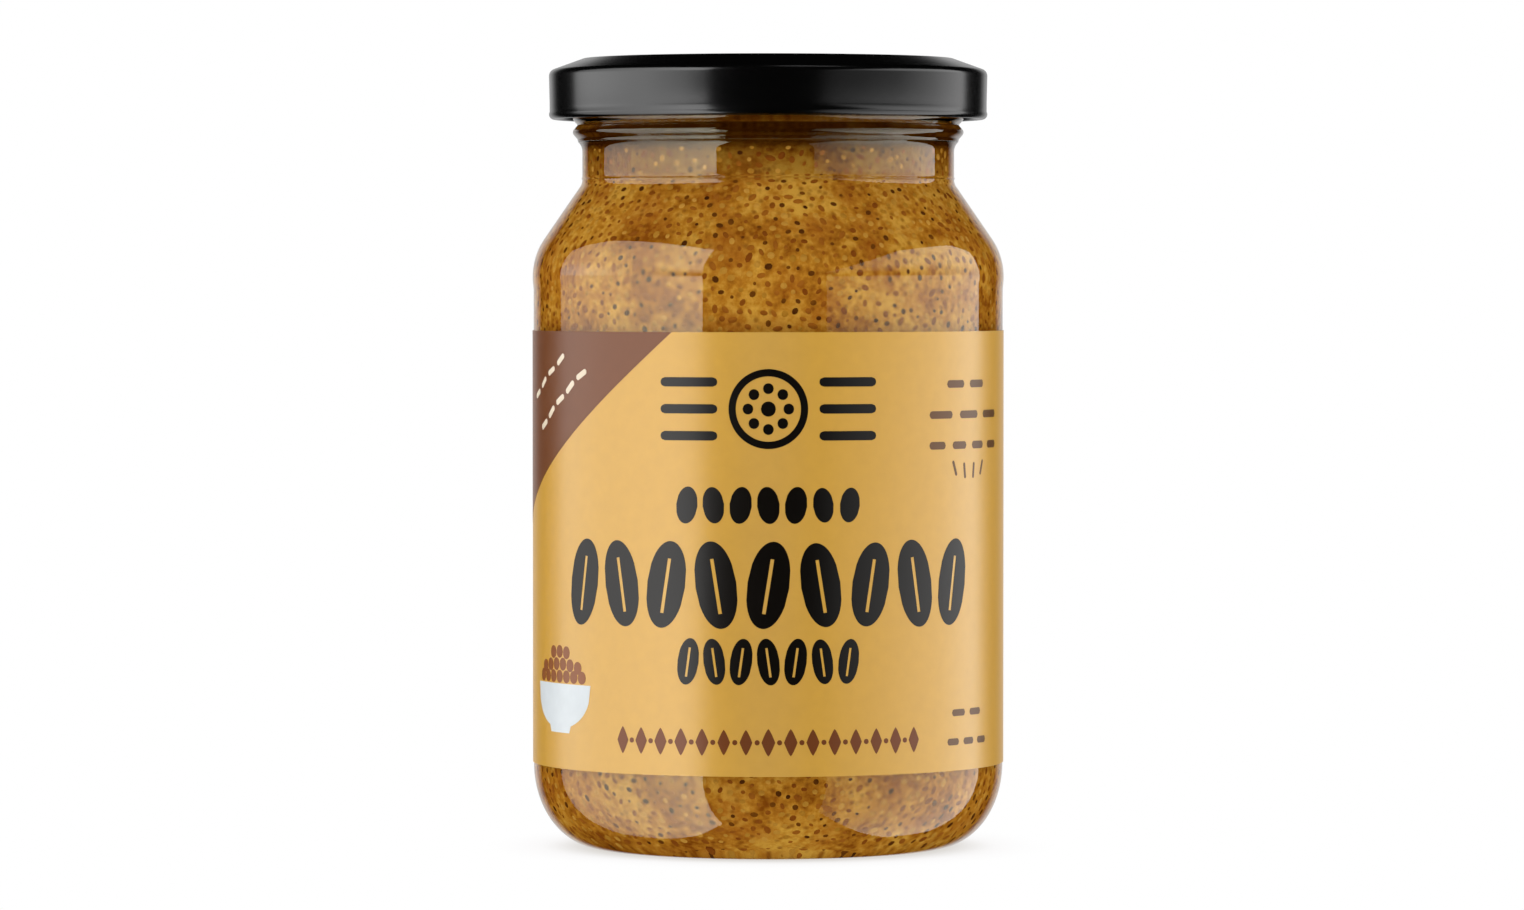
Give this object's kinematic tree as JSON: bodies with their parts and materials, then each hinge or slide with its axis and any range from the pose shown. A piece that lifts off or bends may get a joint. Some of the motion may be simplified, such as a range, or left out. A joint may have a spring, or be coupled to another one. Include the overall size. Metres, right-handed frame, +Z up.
{
  "type": "mustard jar",
  "caption": "Clear glass jar with a rounded shoulder and heel, full of wholegrain mustard, with a black pressed metal lid and a yellow and brown paper label.",
  "frame": {"origin": "centre of the ring that the jar stands on, at the height of the surface under it", "axes": "+Z up along the jar's axis, from the base to the lid; -Y towards the label's front; +X to the right of someone who faces the label"},
  "size_m": [0.0598, 0.0598, 0.0996],
  "materials": {
    "glass": "polished",
    "lid_lacquer": "gloss",
    "label_paper": "satin",
    "mustard": "satin"
  },
  "bodies": {
    "root": {"glass_jar": "glass", "lid": "lid_lacquer", "label": "label_paper", "mustard": "mustard"}
  },
  "joints": []
}
